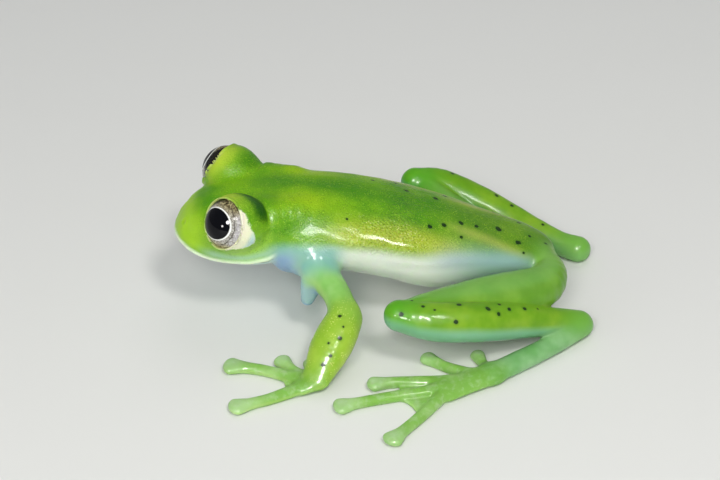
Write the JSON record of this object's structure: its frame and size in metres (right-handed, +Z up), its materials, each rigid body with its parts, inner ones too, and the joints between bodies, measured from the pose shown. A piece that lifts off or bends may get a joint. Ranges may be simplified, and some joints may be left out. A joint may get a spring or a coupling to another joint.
{
  "type": "glass frog",
  "caption": "Small green tree frog crouched on all fours with folded hind legs, splayed disc-tipped digits and large forward-set eyes, as a still life-size model.",
  "frame": {"origin": "middle of the crouched outline, at floor level", "axes": "+Z up, snout towards -Y, the frog's left side towards +X"},
  "size_m": [0.0294, 0.027, 0.0094],
  "materials": {
    "skin": "smooth moist skin, semi-gloss",
    "eye": "wet gloss"
  },
  "bodies": {
    "root": {"head": "skin", "trunk": "skin", "upper_arm_left": "skin", "forearm_left": "skin", "hand_left": "skin", "thigh_left": "skin", "shank_left": "skin", "tarsus_left": "skin", "foot_left": "skin", "eye_left": "eye", "upper_arm_right": "skin", "forearm_right": "skin", "hand_right": "skin", "thigh_right": "skin", "shank_right": "skin", "tarsus_right": "skin", "foot_right": "skin", "eye_right": "eye"}
  },
  "joints": []
}
